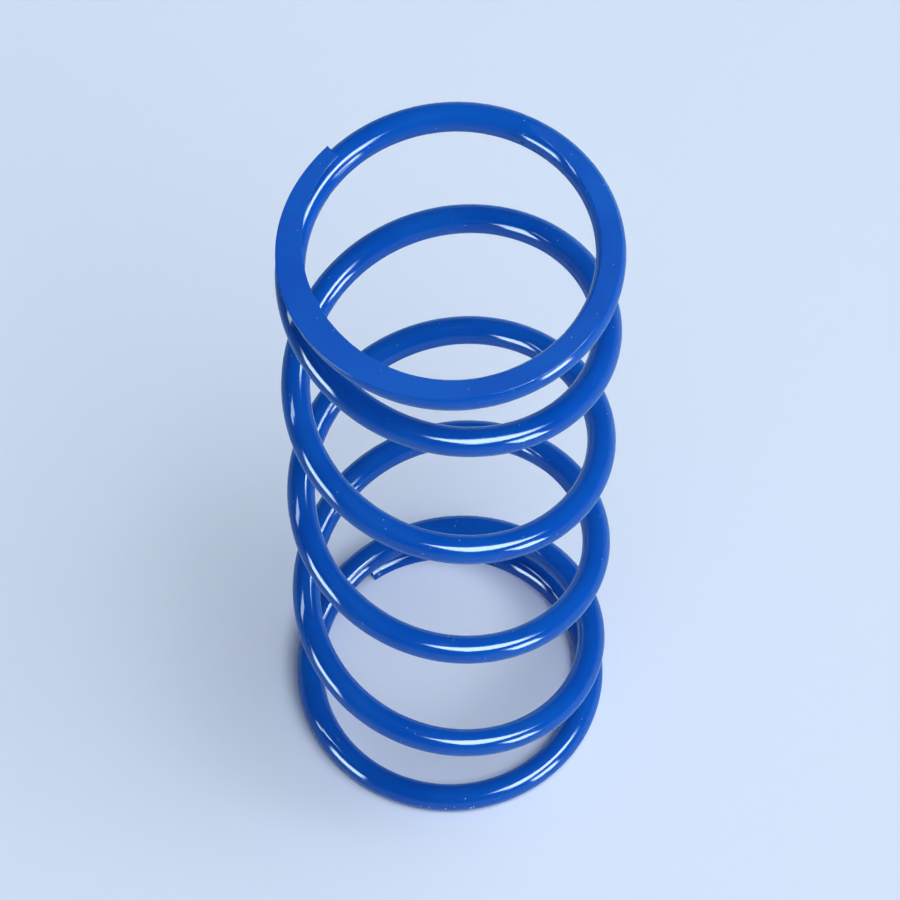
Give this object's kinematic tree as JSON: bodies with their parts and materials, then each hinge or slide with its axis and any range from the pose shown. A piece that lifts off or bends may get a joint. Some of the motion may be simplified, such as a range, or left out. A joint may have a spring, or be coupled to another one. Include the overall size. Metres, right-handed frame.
{
  "type": "variator spring",
  "caption": "Left-hand helical compression spring of round wire with closed and ground ends, for a belt drive's variable pulley, in blue gloss paint.",
  "frame": {"origin": "on the coil's axis, in the lower ground face", "axes": "+Z along the coil's axis, from the lower ground face to the upper one; +X and +Y square to it, with the wire's upper tip at 137 degrees from +X towards +Y, and its lower tip at 126 degrees"},
  "size_m": [0.06, 0.06, 0.174],
  "materials": {
    "blue_paint": "gloss"
  },
  "bodies": {
    "root": {"spring": "blue_paint"}
  },
  "joints": []
}
